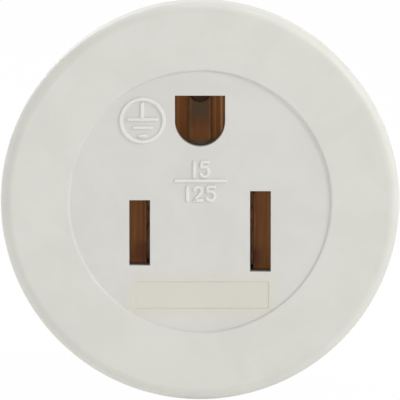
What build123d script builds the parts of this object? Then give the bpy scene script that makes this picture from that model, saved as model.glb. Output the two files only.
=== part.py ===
from build123d import *
import os

# Travel adapter: an American earthed socket on a European earthed round plug, in millimetres.
# The body's axis is Y. The socket face looks towards -Y and the two pins point towards +Y.
# The origin is the middle of the engagement face, midway between the pins. +Z is up.
# Heights are measured from the engagement face towards the socket face: height h is the plane y = -h.

# Outside of the body
grip_diameter = 42.0  # round rim of the socket face
grip_flare = 0.4  # the rim's radius over the collar's: the grip narrows a little towards the plug
body_length = 31.0  # engagement face to rim
rim_edge_radius = 1.2
collar_step = 1.6  # the collar's radius over the plug's
plug_draft = 0.35  # the plug's radius at its shoulder over that at the engagement face
plug_end_radius = 1.0
plug_depth = 17.5
collar_thickness = 2.0
collar_edge_radius = 0.5

# Walls and fits of the shells
housing_wall = 1.8  # at its thinnest, behind
rim_thickness = 2.6
spigot_clearance = 0.1
spigot_wall = 1.9
end_wall = 2.6
part_clearance = 0.2  # between a shell and what drops into it
hole_clearance = 0.05  # between a hole and the shank in it
key_width = 3.0  # rib that stops the shells from turning
key_depth = 0.9
key_clearance = 0.15

# Socket face
face_diameter = 27.4
face_seam = 0.04
face_recess = 0.25
face_edge_radius = 0.06
rim_inner_radius = 0.24
opening_edge_radius = 0.06
flange_thickness = 1.4
blade_spacing = 12.7
slot_width = 2.17
line_slot_height = 6.87
neutral_slot_height = 8.48
line_slot_z = -3.3
neutral_slot_z = -3.15
ground_z = 8.45
ground_radius = 2.635
ground_flat = 2.70  # flat top of the earth opening, above its centre
label_length = 14.0  # shallow bare recess below the openings
label_height = 2.85
label_depth = 0.06
label_corner_radius = 0.2
label_x = 0.24
label_z = -9.87

# European plug
pin_spacing = 19.0
pin_diameter = 4.8
pin_length = 19.0
pin_tip_radius = 1.6
pin_shank_step = 0.2  # the shank's radius in the end wall over the pin's
pin_flange_step = 1.2
pin_flange_thickness = 1.2
pin_tenon_diameter = 4.0
pin_neck_diameter = 2.4
pin_peen_diameter = 3.6
pin_peen_height = 0.6
washer_diameter = 8.4
washer_thickness = 1.0
earth_hole_z = -10.0  # female earth contact, 10 mm from the line of the pins
earth_hole_diameter = 5.4
guide_groove_width = 5.0
guide_groove_depth = 2.6
guide_groove_wall = 1.6
spring_recess_width = 9.0
spring_recess_depth = 1.8
spring_recess_wall = 1.6
spring_recess_stop = 0.7  # from the end of the recess to the collar

# Current-carrying pieces
sheet = 0.5  # spring contact sheet
contact_bend = 0.7
contact_top_gap = 1.0  # from the contact's mouth to the socket face's back
contact_nip_drop = 1.4  # from the mouth down to where the leaves are closest
blade_nip = 0.15
blade_fixed = 0.95  # from the slot's middle to the fixed leaf
blade_fixed_flare = 0.4
blade_mouth = 1.7  # from the slot's middle to the spring leaf's lip
blade_foot = 3.7
blade_spring_travel = 1.4
line_contact_width = 7.8
neutral_contact_width = 9.4
ground_nip = 2.4
ground_mouth = 5.3
ground_foot = 3.8
ground_spring_travel = 1.2
ground_contact_width = 7.6
strap_thickness = 0.8
strap_width = 4.6
rivet_diameter = 1.6
rivet_head_diameter = 2.4
rivet_head_height = 0.5
rivet_sink_diameter = 2.8
ground_rivet_diameter = 2.0
ground_rivet_head_diameter = 2.3
ground_rivet_rise = 1.65  # the earth contact's rivet, above the middle of its opening
bridge_width = 5.5
bridge_thickness = 0.8
bridge_pad_diameter = 9.2
bridge_end_gap = 0.7
tube_bore = 4.9
tube_wall = 0.55
tube_flange_step = 1.2
tube_flange_thickness = 0.8
tube_length = 15.2
spring_sheet = 0.5
spring_width = 6.0
spring_bend = 0.6
spring_straight = 1.7  # left straight at each end of the bow
spring_rise = 0.9  # how far the earth spring bows out from its recess
spring_end_gap = 1.2  # from the earth spring's free end to the end of its recess
window_clearance = 0.2

# Contact carrier and the screw that clamps the stack
floor_thickness = 1.4
chamber_side_gap = 0.15
chamber_margin = 0.7
plate_thickness = 1.0
plate_margin = 0.4
screw_diameter = 2.9
screw_hole_diameter = 3.3
screw_head_diameter = 5.2
screw_head_height = 1.4
screw_head_recess = 0.3
screw_sink_diameter = 5.6
screw_slot_width = 0.9
screw_slot_length = 3.4
screw_slot_depth = 0.8
screw_tip_gap = 0.6  # from the screw's tip to the end of its insert
insert_diameter = 4.0
insert_length = 5.0
insert_bore = 3.0
insert_boss_diameter = 5.8
insert_boss_length = 6.6
insert_inset = 0.2
screw_boss_diameter = 6.0
ground_boss_diameter = 4.4

# Heights and radii that follow from the values above
grip_rear_diameter = grip_diameter - 2 * grip_flare
plug_diameter = grip_rear_diameter - 2 * collar_step
plug_end_diameter = plug_diameter - 2 * plug_draft
rim_height = body_length
rim_back = rim_height - rim_thickness
face_height = rim_height - face_recess
insert_back = rim_back - flange_thickness
collar_top = plug_depth + collar_thickness
flange_top = end_wall + pin_flange_thickness
plate_bottom = flange_top + washer_thickness
plate_top = plate_bottom + plate_thickness
carrier_bottom = plate_top + strap_thickness
chamber_floor = carrier_bottom + floor_thickness
contact_seat = chamber_floor + sheet
contact_top = insert_back - contact_top_gap
bridge_top = end_wall + bridge_thickness
spring_top = bridge_top + spring_sheet
housing_inner_radius = grip_rear_diameter / 2 - housing_wall
spigot_radius = housing_inner_radius - spigot_clearance
cavity_radius = spigot_radius - spigot_wall
cavity_half_x = plug_diameter / 2 - guide_groove_depth - guide_groove_wall
spring_recess_flat = plug_diameter / 2 - spring_recess_depth
cavity_half_z = spring_recess_flat - spring_recess_wall
flange_radius = housing_inner_radius - 2 * part_clearance
insert_boss_start = insert_back - insert_boss_length
insert_start = insert_boss_start + insert_inset
screw_end = insert_start + insert_length - screw_tip_gap
pin_shank_diameter = pin_diameter + 2 * pin_shank_step
pin_flange_diameter = pin_diameter + 2 * pin_flange_step
tube_start = end_wall / 2
tube_end = tube_start + tube_length
tube_diameter = tube_bore + 2 * tube_wall
tube_flange_diameter = tube_diameter + 2 * tube_flange_step
spring_recess_length = plug_depth - spring_recess_stop
spring_end = spring_recess_length - spring_end_gap
ground_rivet_z = ground_z + ground_rivet_rise
blade_chamber_inner = blade_foot / 2 + sheet + chamber_side_gap
blade_chamber_outer = blade_mouth + sheet + blade_spring_travel
blade_chamber_width = blade_chamber_outer + blade_chamber_inner
blade_chamber_shift = (blade_chamber_outer - blade_chamber_inner) / 2
ground_chamber_width = ground_mouth + 2 * sheet + 2 * ground_spring_travel
line_x = -blade_spacing / 2
neutral_x = blade_spacing / 2


# The plane at a height: its x is the part's X and its y is the part's Z
def level(height):
    return Plane.XZ.offset(height)


# The side plane through (x, z): its x is the part's X and its y is the height
def side(x, z):
    return Plane(origin=(x, 0, z), x_dir=(1, 0, 0), z_dir=(0, 0, -1))


# The centre plane seen from +X: its x is the part's Z and its y is the height
centre_side = Plane(origin=(0, 0, 0), x_dir=(0, 0, 1), z_dir=(1, 0, 0))


# The line that a turned piece at (x, z) is turned about
def turning_axis(x, z):
    return Axis((x, 0, z), (0, -1, 0))


# The round cavity of the plug body, flat behind the guide grooves and the earth springs
def cavity_outline(gap):
    Circle(cavity_radius - gap)
    Rectangle(2 * (cavity_half_x - gap), 2 * (cavity_half_z - gap), mode=Mode.INTERSECT)


# The key notches in what slides past the housing's ribs
def key_notches():
    with GridLocations(2 * housing_inner_radius, 0, 2, 1):
        Rectangle(2 * (key_depth + key_clearance), key_width + 2 * key_clearance)


# The flat-topped round opening for the earth pin
def ground_outline():
    with Locations((0, ground_z)):
        Circle(ground_radius)
    with Locations((0, ground_z + ground_flat / 2)):
        Rectangle(2 * ground_radius, ground_flat)


def finish(part, name):
    part.label = name
    export_step(part, f"parts/{name}.step")


os.makedirs("parts", exist_ok=True)


# Outer housing: the rim round the socket face and the grip behind it
with BuildPart() as outer_housing:
    with BuildSketch(side(0, 0)) as section:
        with BuildLine():
            Polyline(
                (face_diameter / 2 + face_seam, rim_back),
                (face_diameter / 2 + face_seam, rim_height),
                (grip_diameter / 2, rim_height),
                (grip_rear_diameter / 2, collar_top),
                (housing_inner_radius, collar_top),
                (housing_inner_radius, rim_back),
                close=True,
            )
        make_face()
        inner_corner = section.vertices().group_by(Axis.Y)[-1].sort_by(Axis.X)[0]
        fillet(inner_corner, rim_inner_radius)
        fillet(section.vertices().sort_by(Axis.X)[-1], rim_edge_radius)
    revolve(axis=turning_axis(0, 0))
    with BuildSketch(level(collar_top)):
        with GridLocations(2 * housing_inner_radius, 0, 2, 1):
            Rectangle(2 * key_depth, key_width)
        Circle(housing_inner_radius + key_depth / 2, mode=Mode.INTERSECT)
    extrude(amount=rim_back - collar_top)
finish(outer_housing.part, "outer_housing")


# Face insert: the disc with the socket openings, held behind the rim by its flange
with BuildPart() as face_insert:
    with BuildSketch(side(0, 0)) as section:
        with BuildLine():
            Polyline(
                (0, insert_back),
                (flange_radius, insert_back),
                (flange_radius, rim_back),
                (face_diameter / 2, rim_back),
                (face_diameter / 2, face_height),
                (0, face_height),
                close=True,
            )
        make_face()
        outer_corner = section.vertices().group_by(Axis.Y)[-1].sort_by(Axis.X)[-1]
        fillet(outer_corner, face_edge_radius)
    revolve(axis=turning_axis(0, 0))
    with BuildSketch(level(insert_boss_start)):
        Circle(insert_boss_diameter / 2)
    extrude(amount=insert_back - insert_boss_start)
    with BuildSketch(level(insert_boss_start)):
        Circle(insert_diameter / 2 + hole_clearance)
    extrude(amount=insert_length + 2 * insert_inset, mode=Mode.SUBTRACT)
    with BuildSketch(level(face_height)):
        ground_outline()
        with Locations((line_x, line_slot_z)):
            Rectangle(slot_width, line_slot_height)
        with Locations((neutral_x, neutral_slot_z)):
            Rectangle(slot_width, neutral_slot_height)
    extrude(amount=insert_back - face_height, mode=Mode.SUBTRACT)
    front_edges = face_insert.edges().group_by(Axis.Y)[0].sort_by(SortBy.LENGTH)
    fillet(front_edges[:-1], opening_edge_radius)
    with BuildSketch(level(face_height)):
        with Locations((label_x, label_z)):
            RectangleRounded(label_length, label_height, label_corner_radius)
    extrude(amount=-label_depth, mode=Mode.SUBTRACT)
    with BuildSketch(level(rim_back)):
        key_notches()
    extrude(amount=insert_back - rim_back, mode=Mode.SUBTRACT)
finish(face_insert.part, "face_insert")


# Plug body: engagement face, guide grooves, earth spring recesses, collar and spigot
with BuildPart() as plug_body:
    with BuildSketch(side(0, 0)) as section:
        with BuildLine():
            Polyline(
                (0, 0),
                (plug_end_diameter / 2, 0),
                (plug_diameter / 2, plug_depth),
                (grip_rear_diameter / 2, plug_depth),
                (grip_rear_diameter / 2, collar_top),
                (spigot_radius, collar_top),
                (spigot_radius, insert_back - part_clearance),
                (0, insert_back - part_clearance),
                close=True,
            )
        make_face()
        widest = section.vertices().group_by(Axis.X)[-1]
        fillet(widest.sort_by(Axis.Y)[0], collar_edge_radius)
        end_corner = section.vertices().group_by(Axis.Y)[0].sort_by(Axis.X)[-1]
        fillet(end_corner, plug_end_radius)
    revolve(axis=turning_axis(0, 0))
    with BuildSketch(level(end_wall)):
        cavity_outline(0)
        with GridLocations(pin_spacing, 0, 2, 1):
            Circle(washer_diameter / 2 + part_clearance)
        with Locations((0, earth_hole_z)):
            Circle(tube_flange_diameter / 2 + part_clearance)
    extrude(amount=insert_back - end_wall, mode=Mode.SUBTRACT)
    with BuildSketch(level(collar_top)):
        key_notches()
    extrude(amount=insert_back - collar_top, mode=Mode.SUBTRACT)
    with BuildSketch(level(0)):
        with GridLocations(plug_diameter, 0, 2, 1):
            Rectangle(2 * guide_groove_depth, guide_groove_width)
    extrude(amount=plug_depth, mode=Mode.SUBTRACT)
    with BuildSketch(level(0)):
        with GridLocations(0, 4 * spring_recess_flat, 1, 2):
            Rectangle(spring_recess_width, 2 * spring_recess_flat)
    extrude(amount=spring_recess_length, mode=Mode.SUBTRACT)
    with BuildSketch(level(bridge_top - window_clearance)):
        Rectangle(spring_width + 2 * window_clearance, 2 * spring_recess_flat)
    extrude(amount=spring_sheet + 2 * window_clearance, mode=Mode.SUBTRACT)
    with BuildSketch(level(0)):
        with GridLocations(pin_spacing, 0, 2, 1):
            Circle(pin_shank_diameter / 2 + hole_clearance)
        Circle(screw_hole_diameter / 2)
        with Locations((0, earth_hole_z)):
            Circle(earth_hole_diameter / 2)
    extrude(amount=end_wall, mode=Mode.SUBTRACT)
    with BuildSketch(level(0)):
        Circle(screw_sink_diameter / 2)
    extrude(amount=screw_head_recess + screw_head_height, mode=Mode.SUBTRACT)
    with BuildSketch(level(tube_start)):
        with Locations((0, earth_hole_z)):
            Circle(tube_diameter / 2 + hole_clearance)
    extrude(amount=end_wall - tube_start, mode=Mode.SUBTRACT)
finish(plug_body.part, "plug_body")


# Contact carrier: the core with a chamber behind each socket opening
with BuildPart() as contact_carrier:
    with BuildSketch(level(carrier_bottom)):
        cavity_outline(part_clearance)
    extrude(amount=insert_back - carrier_bottom)
    with BuildSketch(level(bridge_top)):
        Circle(screw_boss_diameter / 2)
    extrude(amount=carrier_bottom - bridge_top)
    with BuildSketch(level(spring_top)):
        with Locations((0, ground_rivet_z)):
            Circle(ground_boss_diameter / 2)
    extrude(amount=carrier_bottom - spring_top)
    with BuildSketch(level(chamber_floor)):
        with Locations((line_x - blade_chamber_shift, line_slot_z)):
            Rectangle(blade_chamber_width, line_contact_width + 2 * chamber_margin)
        with Locations((neutral_x + blade_chamber_shift, neutral_slot_z)):
            Rectangle(blade_chamber_width, neutral_contact_width + 2 * chamber_margin)
        with Locations((0, ground_z)):
            Rectangle(ground_chamber_width, ground_contact_width + 2 * chamber_margin)
    extrude(amount=insert_back - chamber_floor, mode=Mode.SUBTRACT)
    with BuildSketch(level(insert_boss_start - part_clearance)):
        Circle(insert_boss_diameter / 2 + part_clearance)
    extrude(amount=insert_back - insert_boss_start + part_clearance, mode=Mode.SUBTRACT)
    with BuildSketch(level(bridge_top)):
        Circle(screw_hole_diameter / 2)
        with Locations((0, ground_rivet_z)):
            Circle(ground_rivet_diameter / 2 + hole_clearance)
        with Locations((line_x, line_slot_z), (neutral_x, neutral_slot_z)):
            Circle(rivet_diameter / 2 + hole_clearance)
    extrude(amount=insert_back - bridge_top, mode=Mode.SUBTRACT)
    with BuildSketch(level(carrier_bottom)):
        with GridLocations(pin_spacing, 0, 2, 1):
            Circle(pin_peen_diameter / 2 + part_clearance)
    extrude(amount=pin_peen_height + part_clearance, mode=Mode.SUBTRACT)
    with BuildSketch(level(carrier_bottom)):
        with Locations((0, earth_hole_z)):
            Circle(tube_diameter / 2 + part_clearance)
    extrude(amount=tube_end + part_clearance - carrier_bottom, mode=Mode.SUBTRACT)
finish(contact_carrier.part, "contact_carrier")


# Insulating plate: keeps the live straps apart from the earth bridge
with BuildPart() as insulating_plate:
    with BuildSketch(level(plate_bottom)):
        cavity_outline(plate_margin)
        Circle(screw_boss_diameter / 2 + part_clearance, mode=Mode.SUBTRACT)
        with Locations((0, ground_rivet_z)):
            Circle(ground_boss_diameter / 2 + part_clearance, mode=Mode.SUBTRACT)
        with Locations((0, earth_hole_z)):
            Circle(tube_diameter / 2 + part_clearance, mode=Mode.SUBTRACT)
        with GridLocations(pin_spacing, 0, 2, 1):
            Circle(pin_tenon_diameter / 2 + hole_clearance, mode=Mode.SUBTRACT)
    extrude(amount=plate_thickness)
finish(insulating_plate.part, "insulating_plate")


# A folded spring contact: two leaves from a flat foot up to the nip, then out to the mouth.
# The leaves are given by their inner faces: left mouth, left nip, right nip and right mouth
def spring_contact(x, z, width, faces, foot, hole_z, hole_diameter):
    half_sheet = sheet / 2
    nip_height = contact_top - contact_nip_drop
    left_mouth, left_nip, right_nip, right_mouth = faces
    with BuildPart() as contact:
        with BuildSketch(side(x, z)):
            with BuildLine():
                FilletPolyline(
                    (left_mouth - half_sheet, contact_top),
                    (left_nip - half_sheet, nip_height),
                    (-foot / 2 - half_sheet, chamber_floor + half_sheet),
                    (foot / 2 + half_sheet, chamber_floor + half_sheet),
                    (right_nip + half_sheet, nip_height),
                    (right_mouth + half_sheet, contact_top),
                    radius=contact_bend,
                )
            trace(line_width=sheet)
        extrude(amount=width / 2, both=True)
        with BuildSketch(level(chamber_floor)):
            with Locations((x, hole_z)):
                Circle(hole_diameter / 2 + hole_clearance)
        extrude(amount=sheet, mode=Mode.SUBTRACT)
    return contact.part


# A blade's contact: a fixed leaf at the slot's inner edge, and a spring leaf from the outer
# side that slopes across the slot down to it. Its rivet is in the middle of its foot
def blade_contact(x, z, width, fixed_side):
    faces = sorted(
        fixed_side * distance
        for distance in (
            -blade_mouth,
            blade_fixed - blade_nip,
            blade_fixed,
            blade_fixed + blade_fixed_flare,
        )
    )
    return spring_contact(x, z, width, faces, blade_foot, z, rivet_diameter)


finish(blade_contact(line_x, line_slot_z, line_contact_width, 1), "line_contact")
finish(blade_contact(neutral_x, neutral_slot_z, neutral_contact_width, -1), "neutral_contact")

ground_contact = spring_contact(
    0,
    ground_z,
    ground_contact_width,
    (-ground_mouth / 2, -ground_nip / 2, ground_nip / 2, ground_mouth / 2),
    ground_foot,
    ground_rivet_z,
    ground_rivet_diameter,
)
finish(ground_contact, "ground_contact")


# A strap that carries the current from a contact's rivet across to its pin
def strap(rivet_x, rivet_z, pin_x):
    with BuildPart() as piece:
        with BuildSketch(level(plate_top)):
            with Locations((rivet_x, rivet_z), (pin_x, 0)):
                Circle(strap_width / 2)
            make_hull()
            with Locations((rivet_x, rivet_z)):
                Circle(rivet_diameter / 2 + hole_clearance, mode=Mode.SUBTRACT)
            with Locations((pin_x, 0)):
                Circle(pin_neck_diameter / 2 + hole_clearance, mode=Mode.SUBTRACT)
        extrude(amount=strap_thickness)
        with BuildSketch(level(plate_top)):
            with Locations((rivet_x, rivet_z)):
                Circle(rivet_sink_diameter / 2 + hole_clearance)
        with BuildSketch(level(plate_top + strap_thickness / 2)):
            with Locations((rivet_x, rivet_z)):
                Circle(rivet_diameter / 2 + hole_clearance)
        loft(mode=Mode.SUBTRACT)
    return piece.part


finish(strap(line_x, line_slot_z, -pin_spacing / 2), "line_strap")
finish(strap(neutral_x, neutral_slot_z, pin_spacing / 2), "neutral_strap")


# A rivet closed flush in its countersink at the bottom, with a low round head on the contact
def rivet(x, z, bottom, sink_height, diameter, head_diameter):
    with BuildPart() as piece:
        with BuildSketch(side(x, z)) as section:
            with BuildLine():
                Polyline(
                    (0, bottom),
                    (rivet_sink_diameter / 2, bottom),
                    (diameter / 2, bottom + sink_height),
                    (diameter / 2, contact_seat),
                    (head_diameter / 2, contact_seat),
                    (head_diameter / 2, contact_seat + rivet_head_height),
                    (0, contact_seat + rivet_head_height),
                    close=True,
                )
            make_face()
            head_corner = section.vertices().group_by(Axis.Y)[-1].sort_by(Axis.X)[-1]
            fillet(head_corner, rivet_head_height / 2)
        revolve(axis=turning_axis(x, z))
    return piece.part


contact_rivets = Compound(
    children=[
        rivet(x, z, plate_top, strap_thickness / 2, rivet_diameter, rivet_head_diameter)
        for x, z in ((line_x, line_slot_z), (neutral_x, neutral_slot_z))
    ]
)
finish(contact_rivets, "contact_rivets")

bridge_sink = bridge_thickness / 2
ground_rivet = rivet(
    0,
    ground_rivet_z,
    end_wall,
    bridge_sink,
    ground_rivet_diameter,
    ground_rivet_head_diameter,
)
finish(ground_rivet, "ground_rivet")


# A plug pin: round tip, shank in the end wall, flange, and a tenon peened over its strap
def plug_pin(x):
    with BuildPart() as pin:
        with BuildSketch(side(x, 0)) as section:
            with BuildLine():
                Polyline(
                    (0, -pin_length),
                    (pin_diameter / 2, -pin_length),
                    (pin_diameter / 2, 0),
                    (pin_shank_diameter / 2, 0),
                    (pin_shank_diameter / 2, end_wall),
                    (pin_flange_diameter / 2, end_wall),
                    (pin_flange_diameter / 2, flange_top),
                    (pin_tenon_diameter / 2, flange_top),
                    (pin_tenon_diameter / 2, plate_top),
                    (pin_neck_diameter / 2, plate_top),
                    (pin_neck_diameter / 2, carrier_bottom),
                    (pin_peen_diameter / 2, carrier_bottom),
                    (pin_peen_diameter / 2, carrier_bottom + pin_peen_height),
                    (0, carrier_bottom + pin_peen_height),
                    close=True,
                )
            make_face()
            tip_corner = section.vertices().group_by(Axis.Y)[0].sort_by(Axis.X)[-1]
            fillet(tip_corner, pin_tip_radius)
            peen_corner = section.vertices().group_by(Axis.Y)[-1].sort_by(Axis.X)[-1]
            fillet(peen_corner, pin_peen_height / 2)
        revolve(axis=turning_axis(x, 0))
    return pin.part


finish(plug_pin(-pin_spacing / 2), "line_pin")
finish(plug_pin(pin_spacing / 2), "neutral_pin")


# Pin washers: one between each pin's flange and the insulating plate
with BuildPart() as pin_washers:
    with BuildSketch(level(flange_top)):
        with GridLocations(pin_spacing, 0, 2, 1):
            Circle(washer_diameter / 2)
            Circle(pin_tenon_diameter / 2 + hole_clearance, mode=Mode.SUBTRACT)
    extrude(amount=washer_thickness)
finish(pin_washers.part, "pin_washers")


# Earth bridge: the bar on the end wall that joins the earth contact, tube and springs
with BuildPart() as earth_bridge:
    with BuildSketch(level(end_wall)):
        Rectangle(bridge_width, 2 * (cavity_half_z - bridge_end_gap))
        with Locations((0, earth_hole_z)):
            Circle(bridge_pad_diameter / 2)
        Circle(screw_hole_diameter / 2, mode=Mode.SUBTRACT)
        with Locations((0, ground_rivet_z)):
            Circle(ground_rivet_diameter / 2 + hole_clearance, mode=Mode.SUBTRACT)
        with Locations((0, earth_hole_z)):
            Circle(tube_diameter / 2 + hole_clearance, mode=Mode.SUBTRACT)
    extrude(amount=bridge_thickness)
    with BuildSketch(level(end_wall)):
        with Locations((0, ground_rivet_z)):
            Circle(rivet_sink_diameter / 2 + hole_clearance)
    with BuildSketch(level(end_wall + bridge_thickness / 2)):
        with Locations((0, ground_rivet_z)):
            Circle(ground_rivet_diameter / 2 + hole_clearance)
    loft(mode=Mode.SUBTRACT)
finish(earth_bridge.part, "earth_bridge")


# An earth spring: a foot on the bridge, out through the window, then bowed along its recess
def earth_spring(direction, hole_z, hole_diameter, pad_diameter):
    half_sheet = spring_sheet / 2
    inner_z = spring_recess_flat + half_sheet + hole_clearance
    foot_z = abs(hole_z)
    half_length = (spring_end - bridge_top - half_sheet) / 2
    half_run = (half_length**2 + spring_rise**2) ** 0.5
    bow_radius = (half_run - spring_straight) * half_length / spring_rise
    with BuildPart() as spring:
        with BuildSketch(centre_side):
            with BuildLine():
                FilletPolyline(
                    (direction * foot_z, bridge_top + half_sheet),
                    (direction * inner_z, bridge_top + half_sheet),
                    (direction * (inner_z + spring_rise), spring_end - half_length),
                    (direction * inner_z, spring_end),
                    radius=[spring_bend, bow_radius],
                )
            trace(line_width=spring_sheet)
        extrude(amount=spring_width / 2, both=True)
        with BuildSketch(level(bridge_top)):
            with Locations((0, hole_z)):
                Circle(pad_diameter / 2)
        extrude(amount=spring_sheet)
        with BuildSketch(level(bridge_top)):
            with Locations((0, hole_z)):
                Circle(hole_diameter / 2 + hole_clearance)
        extrude(amount=spring_sheet, mode=Mode.SUBTRACT)
    return spring.part


finish(earth_spring(1, ground_rivet_z, ground_rivet_diameter, spring_width), "upper_earth_spring")
finish(earth_spring(-1, earth_hole_z, tube_diameter, tube_flange_diameter), "lower_earth_spring")


# Earth tube: the female earth contact, flanged over the lower spring's foot
with BuildPart() as earth_tube:
    with BuildSketch(level(tube_start)):
        with Locations((0, earth_hole_z)):
            Circle(tube_diameter / 2)
    extrude(amount=tube_end - tube_start)
    with BuildSketch(level(spring_top)):
        with Locations((0, earth_hole_z)):
            Circle(tube_flange_diameter / 2)
    extrude(amount=tube_flange_thickness)
    with BuildSketch(level(tube_start)):
        with Locations((0, earth_hole_z)):
            Circle(tube_bore / 2)
    extrude(amount=tube_end - tube_start, mode=Mode.SUBTRACT)
finish(earth_tube.part, "earth_tube")


# Housing screw: clamps the plug body, the carrier and the face insert together
with BuildPart() as housing_screw:
    with BuildSketch(side(0, 0)) as section:
        with BuildLine():
            Polyline(
                (0, screw_head_recess),
                (screw_head_diameter / 2, screw_head_recess),
                (screw_head_diameter / 2, screw_head_recess + screw_head_height),
                (screw_diameter / 2, screw_head_recess + screw_head_height),
                (screw_diameter / 2, screw_end),
                (0, screw_end),
                close=True,
            )
        make_face()
        head_edge = section.vertices().group_by(Axis.Y)[0].sort_by(Axis.X)[-1]
        fillet(head_edge, screw_head_height / 2)
    revolve(axis=turning_axis(0, 0))
    with BuildSketch(level(screw_head_recess)):
        Rectangle(screw_slot_length, screw_slot_width)
        Rectangle(screw_slot_width, screw_slot_length)
    extrude(amount=screw_slot_depth, mode=Mode.SUBTRACT)
finish(housing_screw.part, "housing_screw")


# Screw insert: the threaded bush in the face insert's boss
with BuildPart() as screw_insert:
    with BuildSketch(level(insert_start)):
        Circle(insert_diameter / 2)
        Circle(insert_bore / 2, mode=Mode.SUBTRACT)
    extrude(amount=insert_length)
finish(screw_insert.part, "screw_insert")
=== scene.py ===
import math

import bpy
from mathutils import Matrix, Vector


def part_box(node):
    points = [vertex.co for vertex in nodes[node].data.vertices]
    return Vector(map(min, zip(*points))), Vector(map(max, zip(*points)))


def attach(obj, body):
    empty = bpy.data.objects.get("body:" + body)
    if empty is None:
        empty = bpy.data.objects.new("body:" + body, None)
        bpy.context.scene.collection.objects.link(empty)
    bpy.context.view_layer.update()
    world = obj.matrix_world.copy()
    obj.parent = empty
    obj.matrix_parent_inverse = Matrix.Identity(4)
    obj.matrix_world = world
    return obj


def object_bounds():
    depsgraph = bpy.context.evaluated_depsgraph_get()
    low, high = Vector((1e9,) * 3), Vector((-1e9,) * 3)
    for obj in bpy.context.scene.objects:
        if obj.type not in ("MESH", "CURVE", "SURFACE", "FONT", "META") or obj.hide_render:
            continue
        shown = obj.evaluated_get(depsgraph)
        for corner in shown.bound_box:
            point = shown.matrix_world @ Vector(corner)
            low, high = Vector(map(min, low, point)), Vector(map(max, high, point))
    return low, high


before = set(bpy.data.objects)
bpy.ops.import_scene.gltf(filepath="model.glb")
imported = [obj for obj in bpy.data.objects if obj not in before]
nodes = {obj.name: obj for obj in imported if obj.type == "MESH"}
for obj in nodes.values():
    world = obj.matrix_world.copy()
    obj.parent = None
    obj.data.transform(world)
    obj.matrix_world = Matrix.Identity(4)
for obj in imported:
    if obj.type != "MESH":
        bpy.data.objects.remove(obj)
cadLow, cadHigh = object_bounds()
mm = 0.001

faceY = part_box("face_insert")[0].y  # front of the socket disc
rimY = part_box("outer_housing")[0].y  # front of the rim
print("frame loaded:", len(nodes), "nodes")


# Small helpers for node trees

# Linear colour for a shader socket from screen values of 0 to 255
def srgb(red, green, blue):
    def linear(value):
        value /= 255
        return value / 12.92 if value <= 0.04045 else ((value + 0.055) / 1.055) ** 2.4
    return (linear(red), linear(green), linear(blue), 1.0)


def addNode(tree, kind, values=None, **settings):
    item = tree.nodes.new(kind)
    for key, value in settings.items():
        setattr(item, key, value)
    for label, value in (values or {}).items():
        item.inputs[label].default_value = value
    return item


def join(tree, source, target):
    tree.links.new(source, target)


# Gives a socket a number or colour of its own, or links another socket to it
def feed(tree, value, target):
    if isinstance(value, (int, float, tuple)):
        target.default_value = value
    else:
        join(tree, value, target)


def newGroup(name, inputs, outputs):
    group = bpy.data.node_groups.new(name, "ShaderNodeTree")
    for label, kind, value in inputs:
        socket = group.interface.new_socket(label, in_out="INPUT", socket_type=kind)
        socket.default_value = value
    for label, kind in outputs:
        group.interface.new_socket(label, in_out="OUTPUT", socket_type=kind)
    start = group.nodes.new("NodeGroupInput")
    end = group.nodes.new("NodeGroupOutput")
    return group, start, end


def maths(tree, operation, first, second=None, clamp=False):
    item = addNode(tree, "ShaderNodeMath", operation=operation, use_clamp=clamp)
    feed(tree, first, item.inputs[0])
    if second is not None:
        feed(tree, second, item.inputs[1])
    return item.outputs[0]


def vectorMaths(tree, operation, first, second=None):
    item = addNode(tree, "ShaderNodeVectorMath", operation=operation)
    feed(tree, first, item.inputs[0])
    if second is not None:
        feed(tree, second, item.inputs[1])
    return item.outputs["Value" if operation in ("DOT_PRODUCT", "LENGTH") else "Vector"]


def ramp(tree, value, fromLow, fromHigh, toLow=0.0, toHigh=1.0):
    ends = {"From Min": fromLow, "From Max": fromHigh, "To Min": toLow, "To Max": toHigh}
    item = addNode(tree, "ShaderNodeMapRange", ends, interpolation_type="SMOOTHSTEP")
    join(tree, value, item.inputs["Value"])
    return item.outputs["Result"]


# In colour mode a Mix node's factor is input 0, its colours are 6 and 7, and its result is output 2
def mixColour(tree, factor, first, second):
    item = addNode(tree, "ShaderNodeMix", data_type="RGBA")
    for slot, value in ((0, factor), (6, first), (7, second)):
        feed(tree, value, item.inputs[slot])
    return item.outputs[2]


# The base colour with another screen colour over it, where the mask is
def tint(tree, base, mask, share, colour):
    return mixColour(tree, maths(tree, "MULTIPLY", mask, share), base, srgb(*colour))


def objectPlace(tree):
    return tree.nodes.new("ShaderNodeTexCoord").outputs["Object"]


def noise(tree, place, scale, **values):
    item = addNode(tree, "ShaderNodeTexNoise", values)
    join(tree, place, item.inputs["Vector"])
    feed(tree, scale, item.inputs["Scale"])
    return item.outputs["Fac"]


# Shader groups shared by the finishes

# Fine spark texture of a mould and slow flow marks
def buildMouldGrain():
    group, start, end = newGroup(
        "mouldGrain",
        [("Grain Scale", "NodeSocketFloat", 9000.0), ("Flow Scale", "NodeSocketFloat", 180.0)],
        [("Height", "NodeSocketFloat"), ("Flow", "NodeSocketFloat")],
    )
    place = objectPlace(group)
    grain = noise(group, place, start.outputs["Grain Scale"], Detail=2.0, Roughness=0.6)
    flow = noise(group, place, start.outputs["Flow Scale"], Detail=3.0, Roughness=0.55, Distortion=0.6)
    join(group, grain, end.inputs["Height"])
    join(group, ramp(group, flow, fromLow=0.3, fromHigh=0.7), end.inputs["Flow"])
    return group


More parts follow.
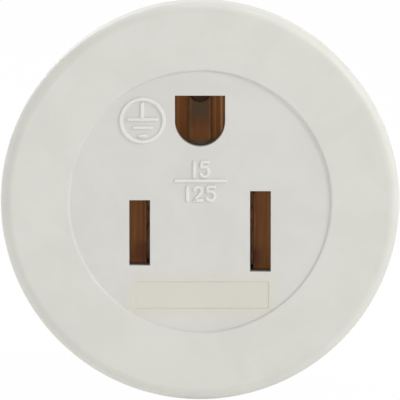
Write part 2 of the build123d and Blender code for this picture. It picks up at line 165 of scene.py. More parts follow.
# Rubbed edges, found where a rounded normal leaves the real one
def buildEdgeWear():
    group, start, end = newGroup(
        "edgeWear",
        [("Width", "NodeSocketFloat", 0.15 * mm), ("Breakup Scale", "NodeSocketFloat", 1500.0)],
        [("Mask", "NodeSocketFloat")],
    )
    rounded = addNode(group, "ShaderNodeBevel", samples=4)
    join(group, start.outputs["Width"], rounded.inputs["Radius"])
    real = group.nodes.new("ShaderNodeNewGeometry")
    agreement = vectorMaths(group, "DOT_PRODUCT", rounded.outputs["Normal"], real.outputs["Normal"])
    edge = ramp(group, maths(group, "SUBTRACT", 1.0, agreement), fromLow=0.03, fromHigh=0.22)
    chips = noise(group, objectPlace(group), start.outputs["Breakup Scale"], Detail=3.0, Roughness=0.7)
    patchy = ramp(group, chips, fromLow=0.35, fromHigh=0.65)
    join(group, maths(group, "MULTIPLY", edge, patchy), end.inputs["Mask"])
    return group


# Painted shade and grime: darker where seams and corners shut out the light
def buildCreviceShadeAndGrime():
    group, start, end = newGroup(
        "creviceShadeAndGrime",
        [("Reach", "NodeSocketFloat", 0.6 * mm), ("Breakup Scale", "NodeSocketFloat", 700.0)],
        [("Mask", "NodeSocketFloat")],
    )
    daylight = addNode(group, "ShaderNodeAmbientOcclusion", samples=6)
    join(group, start.outputs["Reach"], daylight.inputs["Distance"])
    shut = maths(group, "SUBTRACT", 1.0, daylight.outputs["AO"])
    closed = ramp(group, shut, fromLow=0.15, fromHigh=0.9)
    dust = noise(group, objectPlace(group), start.outputs["Breakup Scale"], Detail=4.0, Roughness=0.65)
    patchy = ramp(group, dust, fromLow=0.25, fromHigh=0.7, toLow=0.35)
    join(group, maths(group, "MULTIPLY", closed, patchy), end.inputs["Mask"])
    return group


# Hairlines in two directions
def buildFineScratches():
    group, start, end = newGroup(
        "fineScratches",
        [("Scale", "NodeSocketFloat", 260.0), ("Sparseness", "NodeSocketFloat", 0.62)],
        [("Mask", "NodeSocketFloat")],
    )
    place = objectPlace(group)
    sharpness = 14.0
    marks = []
    for angle, stretch in ((0.5, 14.0), (-0.9, 18.0)):
        turn = {"Rotation": (0.0, angle, 0.0), "Scale": (stretch, 1.0, 1.0)}
        turned = addNode(group, "ShaderNodeMapping", turn)
        join(group, place, turned.inputs["Vector"])
        settings = {"Detail": 2.0, "Roughness": 0.5, "Distortion": 0.3}
        lines = noise(group, turned.outputs["Vector"], start.outputs["Scale"], **settings)
        cut = maths(group, "SUBTRACT", lines, start.outputs["Sparseness"])
        marks.append(maths(group, "MULTIPLY", cut, sharpness, clamp=True))
    join(group, maths(group, "MAXIMUM", *marks), end.inputs["Mask"])
    return group


# Rolled or drawn metal: lines along one axis
def buildMetalGrain():
    group, start, end = newGroup(
        "metalGrain",
        [("Stretch", "NodeSocketVector", (1.0, 1.0, 1.0)), ("Scale", "NodeSocketFloat", 2500.0)],
        [("Height", "NodeSocketFloat"), ("Tone", "NodeSocketFloat")],
    )
    turned = group.nodes.new("ShaderNodeMapping")
    join(group, objectPlace(group), turned.inputs["Vector"])
    join(group, start.outputs["Stretch"], turned.inputs["Scale"])
    lines = noise(group, turned.outputs["Vector"], start.outputs["Scale"], Detail=4.0, Roughness=0.7)
    join(group, lines, end.inputs["Height"])
    join(group, ramp(group, lines, fromLow=0.3, fromHigh=0.7), end.inputs["Tone"])
    return group


# Cloudy oxide patches on metal
def buildTarnish():
    group, start, end = newGroup(
        "tarnish",
        [("Scale", "NodeSocketFloat", 420.0), ("Cover", "NodeSocketFloat", 0.5)],
        [("Mask", "NodeSocketFloat")],
    )
    settings = {"Detail": 5.0, "Roughness": 0.6, "Distortion": 0.8}
    cloud = noise(group, objectPlace(group), start.outputs["Scale"], **settings)
    lifted = maths(group, "ADD", cloud, start.outputs["Cover"])
    join(group, ramp(group, lifted, fromLow=0.8, fromHigh=1.2), end.inputs["Mask"])
    return group


# Ragged patch with soft edges round a box-shaped place
def buildSoftPatch():
    group, start, end = newGroup(
        "softPatch",
        [
            ("Centre", "NodeSocketVector", (0.0, 0.0, 0.0)),
            ("Half Size", "NodeSocketVector", (0.001, 1.0, 0.001)),
            ("Fade", "NodeSocketFloat", 2.0 * mm),
        ],
        [("Mask", "NodeSocketFloat")],
    )
    place = objectPlace(group)
    away = vectorMaths(group, "SUBTRACT", place, start.outputs["Centre"])
    folded = vectorMaths(group, "ABSOLUTE", away)
    past = vectorMaths(group, "SUBTRACT", folded, start.outputs["Half Size"])
    outside = vectorMaths(group, "MAXIMUM", past, (0.0, 0.0, 0.0))
    share = maths(group, "DIVIDE", vectorMaths(group, "LENGTH", outside), start.outputs["Fade"])
    cloudScale, raggedness = 500.0, 0.8
    cloud = noise(group, place, cloudScale, Detail=4.0, Roughness=0.6)
    ragged = maths(group, "ADD", share, maths(group, "MULTIPLY", cloud, raggedness))
    mask = ramp(group, ragged, fromLow=0.3, fromHigh=1.3, toLow=1.0, toHigh=0.0)
    join(group, mask, end.inputs["Mask"])
    return group


mouldGrain = buildMouldGrain()
edgeWear = buildEdgeWear()
creviceShadeAndGrime = buildCreviceShadeAndGrime()
fineScratches = buildFineScratches()
metalGrain = buildMetalGrain()
tarnish = buildTarnish()
softPatch = buildSoftPatch()
print("shader groups built")


def useGroup(tree, group, values):
    item = tree.nodes.new("ShaderNodeGroup")
    item.node_tree = group
    for label, value in values.items():
        item.inputs[label].default_value = value
    return item


# A material with its Principled shader; constants are set on the shader's own sockets
def newMaterial(name, **constants):
    material = bpy.data.materials.new(name)
    material.use_nodes = True
    shader = material.node_tree.nodes["Principled BSDF"]
    for label, value in constants.items():
        shader.inputs[label.replace("_", " ")].default_value = value
    return material, material.node_tree, shader


# Normal from a grain's height; a radius also rounds the edges a little
def addGrain(tree, shader, height, look):
    bump = addNode(tree, "ShaderNodeBump", {"Strength": look["strength"], "Distance": look["height"]})
    join(tree, height, bump.inputs["Height"])
    if "radius" in look:
        soft = addNode(tree, "ShaderNodeBevel", {"Radius": look["radius"]}, samples=4)
        join(tree, soft.outputs["Normal"], bump.inputs["Normal"])
    join(tree, bump.outputs["Normal"], shader.inputs["Normal"])


def addWear(tree, look):
    wear = useGroup(tree, edgeWear, {"Width": look["width"], "Breakup Scale": look["scale"]})
    return wear.outputs["Mask"]


# A soft patch's mask; places and sizes are in millimetres on the part's own axes
def addPatch(tree, centre, halfSize, fade):
    patch = useGroup(tree, softPatch, {
        "Centre": [value * mm for value in centre],
        "Half Size": [value * mm for value in halfSize],
        "Fade": fade * mm,
    })
    return patch.outputs["Mask"]


whitePlastic = {
    "shell": {"light": (212, 211, 204), "shade": (208, 207, 200), "grainScale": 9000.0},
    "disc": {"light": (210, 209, 204), "shade": (206, 205, 200), "grainScale": 9000.0},
    # the raised marks are paler than the disc: a painted highlight on them
    "mark": {"light": (224, 223, 217), "shade": (219, 218, 212), "grainScale": 12000.0},
    "flowScale": 190.0,
    "roughness": 0.46,
    "grain": {"height": 0.004 * mm, "strength": 0.6, "radius": 0.05 * mm},
    # rubbed edges made lighter: wear, and a painted highlight along the edges
    "worn": {"width": 0.12 * mm, "scale": 1400.0, "share": 0.3, "polish": 0.12, "colour": (238, 237, 232)},
    # painted shade and grime in seams and corners
    "shadeAndGrime": {"reach": 0.6 * mm, "scale": 600.0, "share": 0.35, "colour": (150, 145, 132)},
    "scratches": {"scale": 240.0, "sparseness": 0.66, "rough": 0.1},
    # yellowing round the recess under the slots
    "stain": {
        "centre": (0.24, 0.0, -9.87), "halfSize": (7.0, 1000.0, 1.425), "fade": 2.0,
        "share": 0.4, "colour": (209, 202, 181),
    },
    # painted brown shade on the walls of the openings, from one depth behind the disc's front to another
    "openingShade": {"from": 0.15 * mm, "to": 2.4 * mm, "share": 0.8, "colour": (104, 80, 60)},
}


# Moulded plastic; the disc's also has the stain, and painted brown shade in its openings
def whiteMaterial(name, tones, disc=False):
    look = whitePlastic
    material, tree, shader = newMaterial(name, IOR=1.46)
    scales = {"Grain Scale": tones["grainScale"], "Flow Scale": look["flowScale"]}
    grain = useGroup(tree, mouldGrain, scales)
    base = mixColour(tree, grain.outputs["Flow"], srgb(*tones["shade"]), srgb(*tones["light"]))
    if disc:
        stain = look["stain"]
        stained = addPatch(tree, stain["centre"], stain["halfSize"], stain["fade"])
        base = tint(tree, base, stained, stain["share"], stain["colour"])
    # lighter rubbed edges: wear and a painted highlight
    worn = addWear(tree, look["worn"])
    base = tint(tree, base, worn, look["worn"]["share"], look["worn"]["colour"])
    # painted shade and grime where seams and corners are shut in
    shadeAndGrime = look["shadeAndGrime"]
    grimeAndShade = useGroup(tree, creviceShadeAndGrime, {"Reach": shadeAndGrime["reach"], "Breakup Scale": shadeAndGrime["scale"]})
    base = tint(tree, base, grimeAndShade.outputs["Mask"], shadeAndGrime["share"], shadeAndGrime["colour"])
    # painted shade: the openings' walls turn brown and dark deeper in
    if disc:
        openingShade = look["openingShade"]
        apart = tree.nodes.new("ShaderNodeSeparateXYZ")
        join(tree, objectPlace(tree), apart.inputs["Vector"])
        near, far = faceY + openingShade["from"], faceY + openingShade["to"]
        depth = ramp(tree, apart.outputs["Y"], near, far, toHigh=openingShade["share"])
        base = mixColour(tree, depth, base, srgb(*openingShade["colour"]))
    join(tree, base, shader.inputs["Base Color"])
    scratches = look["scratches"]
    scales = {"Scale": scratches["scale"], "Sparseness": scratches["sparseness"]}
    hairlines = useGroup(tree, fineScratches, scales)
    scratched = maths(tree, "MULTIPLY", hairlines.outputs["Mask"], scratches["rough"])
    polished = maths(tree, "MULTIPLY", worn, look["worn"]["polish"])
    rough = maths(tree, "ADD", look["roughness"], scratched)
    join(tree, maths(tree, "SUBTRACT", rough, polished), shader.inputs["Roughness"])
    addGrain(tree, shader, grain.outputs["Height"], look["grain"])
    return material


# The same patch on the left and on the right
def bothSides(centre, *rest):
    x, y, z = centre
    return (centre, *rest), ((-x, y, z), *rest)


# What all the metals share
metalSurface = {
    "grain": {"height": 0.002 * mm, "strength": 0.35, "radius": 0.06 * mm},
    "worn": {"width": 0.1 * mm, "scale": 1600.0, "share": 0.6},
    "tarnishScale": 420.0,
    "filmShade": 0.84,
    "tarnishRough": 0.2,
    "grainRough": 0.06,
}


metals = {
    "contact_bronze": {
        "bright": (214, 152, 92), "dull": (198, 134, 78), "tarnished": (185, 122, 71),
        "stretch": (1.0, 1.0, 0.05), "scale": 2600.0, "roughness": 0.50, "cover": 0.74, "oxideMetal": 0.1,
        # painted light and shade on the socket's contacts, paler deep in the gaps where little light
        # falls, with painted highlights on leaf edges and some darker patches: middle, half size, fade,
        # share, colour
        "paintedLightPatches": (
            # the earth contact's foot
            ((-0.05, -8.8, 8.3), (0.3, 1.0, 0.5), 1.5, 0.9, (140, 117, 90)),
            ((0.0, -8.8, 5.2), (1.0, 1.0, 0.6), 1.5, 0.6, (202, 124, 66)),
            # painted light along the foot's lower end
            ((0.0, -8.8, 4.7), (2.5, 1.0, 0.1), 0.3, 0.8, (196, 146, 110)),
            # painted light in the shaded strips either side of the foot
            *bothSides((-1.15, -8.8, 7.2), (0.12, 1.0, 3.4), 0.3, 0.5, (236, 180, 122)),
            # painted light on the blade contacts' feet, then painted highlights on their leaves' inner
            # edges, then darker patches low in the slots
            *bothSides((-5.5, -8.8, -4.2), (0.4, 1.0, 4.5), 0.3, 0.95, (255, 216, 168)),
            *bothSides((-5.74, -24.8, -4.2), (0.03, 1.0, 4.5), 0.12, 0.6, (255, 180, 120)),
            ((-6.3, -25.0, -5.7), (0.3, 2.0, 0.5), 0.9, 0.8, (146, 90, 64)),
            ((5.95, -25.0, -6.3), (0.2, 2.0, 0.5), 0.9, 0.8, (146, 90, 64)),
            # the earth contact's leaves: darker at their sides, then painted highlights along their edges
            *bothSides((-2.1, -25.0, 8.0), (0.4, 3.0, 2.6), 0.5, 0.9, (158, 99, 52)),
            ((2.27, -25.0, 8.9), (0.02, 3.0, 2.0), 0.18, 0.7, (232, 186, 132)),
            ((1.62, -25.0, 8.6), (0.01, 3.0, 2.2), 0.14, 0.4, (214, 156, 100)),
            ((-2.30, -25.0, 8.7), (0.01, 3.0, 2.2), 0.16, 0.35, (214, 150, 92)),
        ),
    },
    "brass_strip": {
        "bright": (214, 176, 96), "dull": (186, 146, 76), "tarnished": (140, 104, 54),
        "stretch": (0.1, 1.0, 1.0), "scale": 2200.0, "roughness": 0.34, "cover": 0.40, "oxideMetal": 0.6,
    },
    "dark_copper": {
        "bright": (168, 104, 78), "dull": (140, 86, 66), "tarnished": (120, 78, 62),
        "stretch": (1.0, 1.0, 1.0), "scale": 3000.0, "roughness": 0.52, "cover": 0.62, "oxideMetal": 0.2,
        # painted light: paler on the blade contacts' feet, deep in the chambers
        "paintedLightPatches": bothSides((-5.5, -8.8, -4.2), (0.4, 1.0, 4.5), 0.3, 0.95, (255, 206, 160)),
    },
    "nickel_plate": {
        "bright": (188, 184, 175), "dull": (178, 174, 165), "tarnished": (138, 132, 121),
        "stretch": (0.15, 1.0, 0.15), "scale": 7000.0, "roughness": 0.36, "cover": 0.22, "oxideMetal": 0.9,
    },
    "tinned_spring": {
        "bright": (180, 178, 172), "dull": (156, 154, 149), "tarnished": (122, 118, 110),
        "stretch": (1.0, 0.06, 1.0), "scale": 2200.0, "roughness": 0.42, "cover": 0.32, "oxideMetal": 0.8,
    },
    "zinc_steel": {
        "bright": (206, 204, 194), "dull": (172, 170, 160), "tarnished": (128, 122, 104),
        "stretch": (1.0, 1.0, 1.0), "scale": 1500.0, "roughness": 0.36, "cover": 0.34, "oxideMetal": 0.7,
    },
}


# Painted light and shade: patches of another colour at given places of a finish
def addPaintedLightPatches(tree, base, look):
    for centre, halfSize, fade, share, colour in look.get("paintedLightPatches", ()):
        base = tint(tree, base, addPatch(tree, centre, halfSize, fade), share, colour)
    return base


def metalMaterial(name, look):
    shared = metalSurface
    material, tree, shader = newMaterial(name, IOR=1.5)
    grain = useGroup(tree, metalGrain, {"Stretch": look["stretch"], "Scale": look["scale"]})
    tone = grain.outputs["Tone"]
    base = mixColour(tree, tone, srgb(*look["dull"]), srgb(*look["bright"]))
    oxide = useGroup(tree, tarnish, {"Scale": shared["tarnishScale"], "Cover": look["cover"]})
    cover = oxide.outputs["Mask"]
    deep = tuple(round(value * shared["filmShade"]) for value in look["tarnished"])
    film = mixColour(tree, tone, srgb(*deep), srgb(*look["tarnished"]))
    base = addPaintedLightPatches(tree, mixColour(tree, cover, base, film), look)
    worn = addWear(tree, shared["worn"])
    base = tint(tree, base, worn, shared["worn"]["share"], look["bright"])
    join(tree, base, shader.inputs["Base Color"])
    bare = ramp(tree, cover, fromLow=0.0, fromHigh=1.0, toLow=1.0, toHigh=look["oxideMetal"])
    join(tree, bare, shader.inputs["Metallic"])
    clouded = maths(tree, "MULTIPLY", cover, shared["tarnishRough"])
    lined = maths(tree, "MULTIPLY", tone, shared["grainRough"])
    rough = maths(tree, "ADD", maths(tree, "ADD", look["roughness"], clouded), lined)
    join(tree, rough, shader.inputs["Roughness"])
    addGrain(tree, shader, grain.outputs["Height"], shared["grain"])
    return material


darkInside = {
    "brown_phenolic": {
        "light": (96, 60, 38), "shade": (62, 37, 23), "roughness": 0.42, "flow": 420.0,
        # painted light: paler deep in the chambers, where little light falls
        "paintedLightPatches": (
            ((0.0, -8.0, 4.5), (2.6, 0.8, 0.3), 0.3, 0.95, (222, 196, 168)),
            *bothSides((-5.5, -8.0, -4.2), (0.4, 0.8, 5.2), 0.3, 0.95, (235, 196, 160)),
        ),
    },
    "fibre_board": {"light": (142, 92, 66), "shade": (104, 64, 46), "roughness": 0.7, "flow": 900.0},
}

# What the two of them share
pressedSurface = {
    "grain": {"height": 0.006 * mm, "strength": 0.5},
    "worn": {"width": 0.12 * mm, "scale": 1300.0, "share": 0.4},
    "grainScale": 5200.0,
    "grainRough": 0.15,
}


# Pressed resin or board: cloudy colour, a little gloss
def pressedMaterial(name, look):
    shared = pressedSurface
    material, tree, shader = newMaterial(name, IOR=1.5, Specular_IOR_Level=0.25)
    scales = {"Grain Scale": shared["grainScale"], "Flow Scale": look["flow"]}
    grain = useGroup(tree, mouldGrain, scales)
    base = mixColour(tree, grain.outputs["Flow"], srgb(*look["shade"]), srgb(*look["light"]))
    worn = addWear(tree, shared["worn"])
    base = tint(tree, base, worn, shared["worn"]["share"], look["light"])
    join(tree, addPaintedLightPatches(tree, base, look), shader.inputs["Base Color"])
    pitted = maths(tree, "MULTIPLY", grain.outputs["Height"], shared["grainRough"])
    join(tree, maths(tree, "ADD", look["roughness"], pitted), shader.inputs["Roughness"])
    addGrain(tree, shader, grain.outputs["Height"], shared["grain"])
    return material


finishes = {
    "white_shell": whiteMaterial("whiteShell", whitePlastic["shell"]),
    "white_insert": whiteMaterial("whiteDisc", whitePlastic["disc"], disc=True),
}
for slotName, look in metals.items():
    finishes[slotName] = metalMaterial(slotName + "Finish", look)
for slotName, look in darkInside.items():
    finishes[slotName] = pressedMaterial(slotName + "Finish", look)
for node in nodes.values():
    slotName = node.material_slots[0].material.name
    node.material_slots[0].material = finishes[slotName]
# paler than the disc: a painted highlight on the raised marks
markFinish = whiteMaterial("raisedMark", whitePlastic["mark"])
print("finishes:", len(finishes) + 1)


# Raised moulding on the disc, in millimetres across and up from its middle

# Inputs of the stroke tree. Crown is the top's share of the width, Corner the rounding's share of
# the height, and Tip the least size of the section at a stroke's end
strokeInputs = {
    "Width": 0.35 * mm,
    "Height": 0.16 * mm,
    "Crown": 0.58,
    "Corner": 0.35,
    "Tip": 0.3,
    "Sink": 0.02 * mm,
    "Step": 0.06 * mm,
}


# Lines to rounded raised strokes: soft trapezoid section, rounded ends
def buildStrokeTree():
    tree = bpy.data.node_groups.new("raisedStroke", "GeometryNodeTree")
    tree.interface.new_socket("Geometry", in_out="INPUT", socket_type="NodeSocketGeometry")
    for label, value in strokeInputs.items():
        socket = tree.interface.new_socket(label, in_out="INPUT", socket_type="NodeSocketFloat")
        socket.default_value = value
    tree.interface.new_socket("Material", in_out="INPUT", socket_type="NodeSocketMaterial")
    tree.interface.new_socket("Geometry", in_out="OUTPUT", socket_type="NodeSocketGeometry")
    start = tree.nodes.new("NodeGroupInput")
    end = tree.nodes.new("NodeGroupOutput")
    lines = tree.nodes.new("GeometryNodeMeshToCurve")
    join(tree, start.outputs["Geometry"], lines.inputs["Mesh"])
    even = addNode(tree, "GeometryNodeResampleCurve", mode="LENGTH")
    join(tree, lines.outputs["Curve"], even.inputs["Curve"])
    join(tree, start.outputs["Step"], even.inputs["Length"])
    level = addNode(tree, "GeometryNodeSetCurveNormal", mode="Z_UP")
    join(tree, even.outputs["Curve"], level.inputs["Curve"])

    # section
    section = addNode(tree, "GeometryNodeCurvePrimitiveQuadrilateral", mode="TRAPEZOID")
    section.inputs["Offset"].default_value = 0.0
    join(tree, start.outputs["Width"], section.inputs["Bottom Width"])
    crown = maths(tree, "MULTIPLY", start.outputs["Width"], start.outputs["Crown"])
    join(tree, crown, section.inputs["Top Width"])
    tall = maths(tree, "ADD", start.outputs["Height"], start.outputs["Sink"])
    join(tree, tall, section.inputs["Height"])
    rounded = addNode(tree, "GeometryNodeFilletCurve", {"Count": 3}, mode="POLY")
    join(tree, section.outputs["Curve"], rounded.inputs["Curve"])
    corner = maths(tree, "MULTIPLY", start.outputs["Height"], start.outputs["Corner"])
    join(tree, corner, rounded.inputs["Radius"])
    lift = tree.nodes.new("ShaderNodeCombineXYZ")
    middle = maths(tree, "SUBTRACT", maths(tree, "MULTIPLY", tall, 0.5), start.outputs["Sink"])
    join(tree, middle, lift.inputs["Y"])
    raised = addNode(tree, "GeometryNodeTransform")
    join(tree, rounded.outputs["Curve"], raised.inputs["Geometry"])
    join(tree, lift.outputs["Vector"], raised.inputs["Translation"])
    turned = addNode(tree, "GeometryNodeTransform", {"Rotation": (0.0, 0.0, math.pi)})
    join(tree, raised.outputs["Geometry"], turned.inputs["Geometry"])

    # rounded ends: the section shrinks over the last half width
    along = tree.nodes.new("GeometryNodeSplineParameter")
    whole = tree.nodes.new("GeometryNodeSplineLength")
    rest = maths(tree, "SUBTRACT", whole.outputs["Length"], along.outputs["Length"])
    nearest = maths(tree, "MINIMUM", along.outputs["Length"], rest)
    half = maths(tree, "MULTIPLY", start.outputs["Width"], 0.5)
    short = maths(tree, "SUBTRACT", 1.0, maths(tree, "DIVIDE", nearest, half), clamp=True)
    tip = maths(tree, "SQRT", maths(tree, "SUBTRACT", 1.0, maths(tree, "MULTIPLY", short, short)))
    tip = maths(tree, "MAXIMUM", tip, start.outputs["Tip"])
    closed = tree.nodes.new("GeometryNodeInputSplineCyclic")
    scale = maths(tree, "MAXIMUM", tip, closed.outputs["Cyclic"])

    body = addNode(tree, "GeometryNodeCurveToMesh", {"Fill Caps": True})
    join(tree, level.outputs["Curve"], body.inputs["Curve"])
    join(tree, turned.outputs["Geometry"], body.inputs["Profile Curve"])
    join(tree, scale, body.inputs["Scale"])
    real = tree.nodes.new("GeometryNodeRealizeInstances")
    join(tree, body.outputs["Mesh"], real.inputs["Geometry"])
    coat = tree.nodes.new("GeometryNodeSetMaterial")
    join(tree, real.outputs["Geometry"], coat.inputs["Geometry"])
    join(tree, start.outputs["Material"], coat.inputs["Material"])
    join(tree, coat.outputs["Geometry"], end.inputs["Geometry"])
    return tree


strokeTree = buildStrokeTree()


# Points on an elliptical arc, angles in degrees
def arcPoints(centre, radii, startAngle, endAngle, steps=24):
    made = []
    for index in range(steps + 1):
        angle = math.radians(startAngle + (endAngle - startAngle) * index / steps)
        made.append((centre[0] + radii[0] * math.cos(angle), centre[1] + radii[1] * math.sin(angle)))
    return made


# The same points with both ends moved outwards along the stroke
def stretched(outline, reach):
    made = [Vector(point) for point in outline]
    headWay = (made[0] - made[1]).normalized()
    tailWay = (made[-1] - made[-2]).normalized()
    made[0] = made[0] + headWay * reach
    made[-1] = made[-1] + tailWay * reach
    return made


# Edges through each stroke's points; a stroke is (points, closed). Open ends reach on by a share
# of the width, because their tips are rounded off
def lineMesh(name, strokes, width, endReach=0.45):
    points, edges = [], []
    for outline, closed in strokes:
        if not closed:
            outline = stretched(outline, width * endReach)
        first = len(points)
        points += [(x * mm, y * mm, 0.0) for x, y in outline]
        edges += [(i, i + 1) for i in range(first, len(points) - 1)]
        if closed:
            edges.append((len(points) - 1, first))
    mesh = bpy.data.meshes.new(name)
    mesh.from_pydata(points, edges, [])
    return mesh


# Runs a Geometry Nodes tree on a mesh and returns the plain result
def runTree(name, mesh, tree, values):
    source = bpy.data.objects.new(name + "Lines", mesh)
    bpy.context.scene.collection.objects.link(source)
    modifier = source.modifiers.new("tree", "NODES")
    modifier.node_group = tree
    for item in tree.interface.items_tree:
        if item.in_out == "INPUT" and item.name in values:
            modifier[item.identifier] = values[item.name]
    depsgraph = bpy.context.evaluated_depsgraph_get()
    result = bpy.data.meshes.new_from_object(source.evaluated_get(depsgraph))
    source.modifiers.remove(modifier)
    bpy.data.objects.remove(source)
    return result


def addPiece(name, mesh):
    piece = bpy.data.objects.new(name, mesh)
    bpy.context.scene.collection.objects.link(piece)
    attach(piece, "root")


# Turns a mesh drawn flat in X and Y to stand on the socket disc
def standOnDisc(mesh):
    stand = Matrix.Rotation(math.radians(90), 4, "X")
    mesh.transform(Matrix.Translation((0.0, faceY, 0.0)) @ stand)


# Smooth shading with the sharp edges kept
def smoothMesh(mesh, angle=35.0):
    mesh.shade_smooth()
    mesh.set_sharp_from_angle(angle=math.radians(angle))


earthSign = {
    "centre": (-6.04, 8.545),
    "ringRadius": 2.25,
    "ringSteps": 96,
    "stroke": 0.53,
    "thinStroke": 0.44,
    "height": 0.16,
    "stemAcross": -0.03,
    "stemTop": 1.72,
    "bars": 3,
    "topBar": 3.05,  # length of the top bar's centre line
    "barDrop": 0.86,
    "barShorter": 1.19,
    "topBarUp": 0.11,  # top bar over the ring's centre
}


def buildEarthSign():
    across, up = earthSign["centre"]
    radii = (earthSign["ringRadius"], earthSign["ringRadius"])
    ring = arcPoints(earthSign["centre"], radii, 0, 360, earthSign["ringSteps"])[:-1]
    stem = across + earthSign["stemAcross"]
    stemFoot = up + earthSign["topBarUp"]
    heavy = [(ring, True), ([(stem, up + earthSign["stemTop"]), (stem, stemFoot)], False)]
    thin = []
    for index in range(earthSign["bars"]):
        half = (earthSign["topBar"] - index * earthSign["barShorter"]) / 2
        level = stemFoot - index * earthSign["barDrop"]
        thin.append(([(across - half, level), (across + half, level)], False))
    for name, strokes, width in (
        ("earth_sign_ring", heavy, earthSign["stroke"]),
        ("earth_sign_bars", thin, earthSign["thinStroke"]),
    ):
        mesh = runTree(name, lineMesh(name, strokes, width), strokeTree, {
            "Width": width * mm, "Height": earthSign["height"] * mm, "Material": markFinish,
        })
        standOnDisc(mesh)
        smoothMesh(mesh)
        addPiece(name, mesh)


buildEarthSign()


# Ring round the disc's axis from a closed section of (radius in millimetres, y in metres)
def latheMesh(name, section, steps):
    points, faces = [], []
    for index in range(steps):
        angle = 2 * math.pi * index / steps
        across, up = mm * math.cos(angle), mm * math.sin(angle)
        points += [(radius * across, y, radius * up) for radius, y in section]
    count = len(section)
    for index in range(steps):
        here, there = index * count, (index + 1) % steps * count
        for low in range(count):
            high = (low + 1) % count
            faces.append((here + low, here + high, there + high, there + low))
    mesh = bpy.data.meshes.new(name)
    mesh.from_pydata(points, [], faces)
    return mesh


weldBead = {
    # section: radius, and the share of the way from the disc's front to the rim's front
    "section": (
        (13.92, -0.4), (13.60, -0.4), (13.64, 0.02), (13.74, 0.07),
        (13.97, 0.90), (14.02, 0.985), (14.07, 0.9),
    ),
    "steps": 240,
    "sharpAngle": 50.0,
}


# Small sloping bead in the seam where the disc is welded to the rim
def buildWeldBead():
    section = [(radius, faceY + (rimY - faceY) * share) for radius, share in weldBead["section"]]
    mesh = latheMesh("weld_bead", section, weldBead["steps"])
    mesh.materials.append(finishes["white_shell"])
    smoothMesh(mesh, weldBead["sharpAngle"])
    addPiece("weld_bead", mesh)


buildWeldBead()


rating = {
    "upper": {"text": "15", "left": (-0.60, 0.15), "foot": 2.635, "tall": 1.54, "wide": 0.76},
    "lower": {"text": "125", "left": (-1.31, -0.59, 0.78), "foot": 0.125, "tall": 1.43, "wide": 0.78},
    "bar": {"from": -2.57, "to": 2.65, "level": 2.19},
    "stroke": 0.45,
    "height": 0.15,
}

# Shapes of the figures, in shares of their width and height
figureShapes = {
    "hook": {"centre": (0.5, 0.72), "radii": (0.5, 0.28), "sweep": (165, -28)},
    "bowl": {"centre": (0.42, 0.34), "radii": (0.58, 0.34), "sweep": (118, -152)},
    "flag": ((0.9, 1.0), (0.06, 1.0), (0.0, 0.66)),
}


# Centre lines of one figure
def figureStrokes(figure, left, foot, wide, tall):
    def spot(x, y):
        return (left + wide * x, foot + tall * y)

    def curve(label):
        shape = figureShapes[label]
        radii = (wide * shape["radii"][0], tall * shape["radii"][1])
        return arcPoints(spot(*shape["centre"]), radii, *shape["sweep"])

    if figure == "1":
        return [([spot(0, 0), spot(0, 1)], False)]
    if figure == "2":
        return [(curve("hook") + [spot(0, 0)], False), ([spot(0, 0), spot(1, 0)], False)]
    flag = [spot(x, y) for x, y in figureShapes["flag"]]
    return [(flag, False), ([flag[-1]] + curve("bowl"), False)]


def buildRating():
    bar = rating["bar"]
    strokes = [([(bar["from"], bar["level"]), (bar["to"], bar["level"])], False)]
    for line in (rating["upper"], rating["lower"]):
        for figure, left in zip(line["text"], line["left"]):
            strokes += figureStrokes(figure, left, line["foot"], line["wide"], line["tall"])
    lines = lineMesh("rating_figures", strokes, rating["stroke"])
    mesh = runTree("rating_figures", lines, strokeTree, {
        "Width": rating["stroke"] * mm, "Height": rating["height"] * mm, "Material": markFinish,
    })
    standOnDisc(mesh)
    smoothMesh(mesh)
    addPiece("rating_figures", mesh)


buildRating()
print("raised moulding built")


# Stage, light and camera

studio = {
    "background": 1.0,
    "fill": 0.25,
    "floorReach": 1.5,
    "paper": (0.82, 0.82, 0.81, 1.0),
    "floorGlow": 0.68,
    "seenGlow": 0.98,
}


# 1 for the rays that reach the studio from the camera or by a mirror, which meet a brighter white
def directRay(tree):
    ray = tree.nodes.new("ShaderNodeLightPath")
    seen = maths(tree, "MAXIMUM", ray.outputs["Is Camera Ray"], ray.outputs["Is Glossy Ray"])
    return maths(tree, "MAXIMUM", seen, ray.outputs["Is Transmission Ray"])


def buildWorld():
    world = bpy.data.worlds.new("studio")
    bpy.context.scene.world = world
    world.use_nodes = True
    tree = world.node_tree
    tree.nodes.clear()
    extra = maths(tree, "MULTIPLY", directRay(tree), studio["background"] - studio["fill"])
    strength = maths(tree, "ADD", extra, studio["fill"])
    light = addNode(tree, "ShaderNodeBackground", {"Color": (1.0, 1.0, 1.0, 1.0)})
    join(tree, strength, light.inputs["Strength"])
    out = tree.nodes.new("ShaderNodeOutputWorld")
    join(tree, light.outputs["Background"], out.inputs["Surface"])


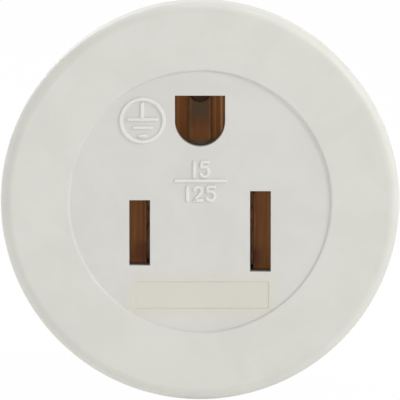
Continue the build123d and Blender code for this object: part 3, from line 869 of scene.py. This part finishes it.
def buildFloor():
    mesh = bpy.data.meshes.new("studio_floor")
    reach = studio["floorReach"]
    level = cadLow.z
    corners = [(x * reach, y * reach, level) for x, y in ((-1, -1), (1, -1), (1, 1), (-1, 1))]
    mesh.from_pydata(corners, [], [(0, 1, 2, 3)])
    floor = bpy.data.objects.new("studio_floor", mesh)
    bpy.context.scene.collection.objects.link(floor)
    material = bpy.data.materials.new("floorPaper")
    material.use_nodes = True
    tree = material.node_tree
    tree.nodes.clear()
    paper = addNode(tree, "ShaderNodeBsdfDiffuse", {"Color": studio["paper"]})
    glow = addNode(tree, "ShaderNodeEmission", {"Color": (1.0, 1.0, 1.0, 1.0), "Strength": 1.0})
    blend = tree.nodes.new("ShaderNodeMixShader")
    glowing = maths(tree, "MULTIPLY", directRay(tree), studio["seenGlow"])
    join(tree, maths(tree, "MAXIMUM", glowing, studio["floorGlow"]), blend.inputs[0])
    join(tree, paper.outputs["BSDF"], blend.inputs[1])
    join(tree, glow.outputs["Emission"], blend.inputs[2])
    out = tree.nodes.new("ShaderNodeOutputMaterial")
    join(tree, blend.outputs["Shader"], out.inputs["Surface"])
    mesh.materials.append(material)


# Square lamps; share is how bright one makes white plastic that faces it
lamps = {
    "key": {"place": (0.66, -0.42, 0.50), "size": 0.26, "share": 0.405},
    "front": {"place": (0.0, -0.88, 0.065), "size": 0.05, "share": 0.200},
    "left": {"place": (-0.75, 0.0, 0.12), "size": 0.5, "share": 0.36},
    "right": {"place": (0.75, 0.02, 0.10), "size": 0.5, "share": 0.27},
    "top": {"place": (0.12, 0.05, 0.80), "size": 0.5, "share": 0.40},
    "back": {"place": (-0.35, 0.55, 0.42), "size": 0.4, "share": 0.25},
}


def buildLamp(name, lamp, target):
    light = bpy.data.lights.new(name, "AREA")
    light.shape = "SQUARE"
    light.size = lamp["size"]
    place = Vector(lamp["place"])
    toTarget = target - place
    light.energy = lamp["share"] * math.pi ** 2 * toTarget.length_squared
    item = bpy.data.objects.new(name, light)
    item.location = place
    item.rotation_euler = toTarget.to_track_quat("-Z", "Y").to_euler()
    bpy.context.scene.collection.objects.link(item)


photo = {
    "elevation": 4.6,
    "distance": 0.9,
    "pixels": 400,
    "pixelsPerMm": 9.516,
    "rimCentre": (200.0, 201.8),  # pixel of the middle of the rim
    "sensor": 36.0,
}


def buildCamera():
    middle = Vector((0.0, rimY, 0.0))
    rise = math.radians(photo["elevation"])
    back = Vector((0.0, -math.cos(rise), math.sin(rise)))
    upward = Vector((0.0, math.sin(rise), math.cos(rise)))
    shiftX = (photo["pixels"] / 2 - photo["rimCentre"][0]) / photo["pixelsPerMm"] * mm
    shiftUp = (photo["rimCentre"][1] - photo["pixels"] / 2) / photo["pixelsPerMm"] * mm
    aim = middle + Vector((shiftX, 0.0, 0.0)) + upward * shiftUp
    camera = bpy.data.cameras.new("photo_camera")
    camera.sensor_width = photo["sensor"]
    frameWidth = photo["pixels"] / photo["pixelsPerMm"] * mm
    camera.lens = camera.sensor_width * photo["distance"] / frameWidth
    item = bpy.data.objects.new("photo_camera", camera)
    item.location = aim + back * photo["distance"]
    item.rotation_mode = "QUATERNION"
    item.rotation_quaternion = (-back).to_track_quat("-Z", "Y")
    bpy.context.scene.collection.objects.link(item)
    bpy.context.scene.camera = item
    return aim


buildWorld()
buildFloor()
aimPoint = buildCamera()
for lampName, lamp in lamps.items():
    buildLamp(lampName + "_lamp", lamp, aimPoint)
bpy.context.scene.view_settings.view_transform = "Standard"
print("stage, light and camera ready")
